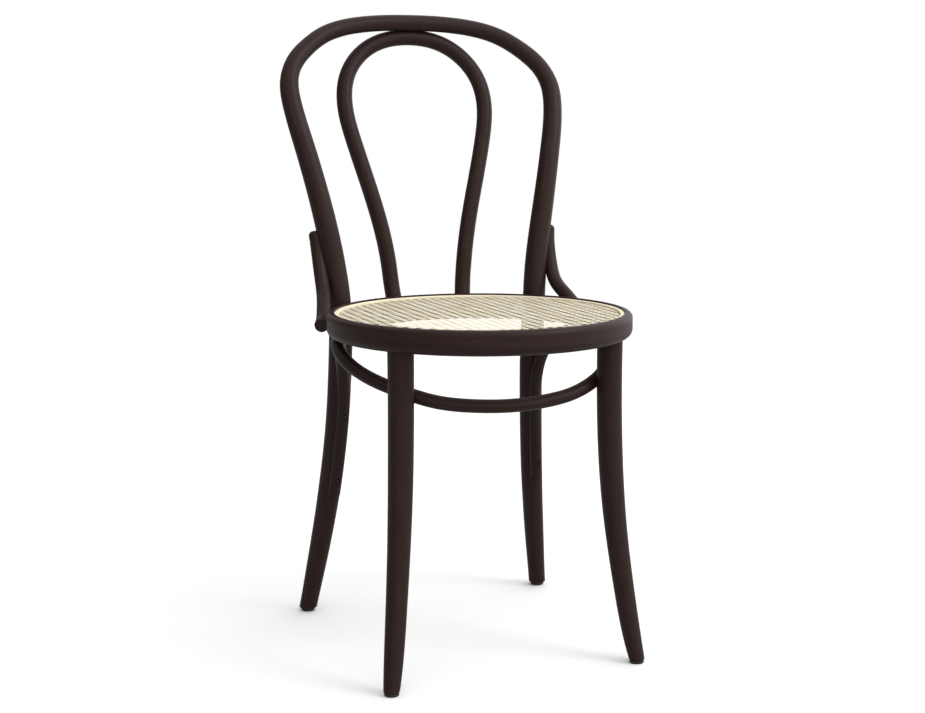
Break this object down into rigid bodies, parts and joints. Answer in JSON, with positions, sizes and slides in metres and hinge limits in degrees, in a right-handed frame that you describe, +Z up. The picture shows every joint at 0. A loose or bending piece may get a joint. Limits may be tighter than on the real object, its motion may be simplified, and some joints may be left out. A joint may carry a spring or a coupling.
{
  "type": "bentwood bistro chair",
  "caption": "Bentwood bistro chair: round cane seat in a bent ring, hoop back with an inner loop, splayed legs braced by a hoop below the seat",
  "frame": {"origin": "on the floor, under the middle of the chair's bounding box", "axes": "+Z up, +Y towards the back of the chair, +X to the right of someone who looks at it from in front"},
  "size_m": [0.4196, 0.5062, 0.858],
  "materials": {
    "wood": "dark brown stain under satin lacquer",
    "cane": "natural rattan skin, satin",
    "spline": "natural reed, satin",
    "glide": "dark moulded plastic",
    "steel": "zinc plated",
    "screw_steel": "burnished dark"
  },
  "bodies": {
    "root": {"back_frame": "wood", "inner_loop": "wood", "seat_ring": "wood", "front_leg_right": "wood", "front_leg_left": "wood", "leg_hoop": "wood", "side_arch_right": "wood", "side_arch_left": "wood", "cane_panel": "cane", "cane_spline": "spline", "glide_front_right": "glide", "glide_front_left": "glide", "glide_rear_right": "glide", "glide_rear_left": "glide", "glide_nails": "steel", "seat_bolts": "steel", "seat_bolt_washers": "steel", "seat_bolt_nuts": "steel", "loop_foot_screws": "screw_steel", "crown_screws": "screw_steel", "arch_top_screws": "screw_steel", "arch_end_screws": "screw_steel", "hoop_front_screws": "screw_steel", "hoop_rear_screws": "screw_steel", "leg_lock_screws": "screw_steel"}
  },
  "joints": []
}
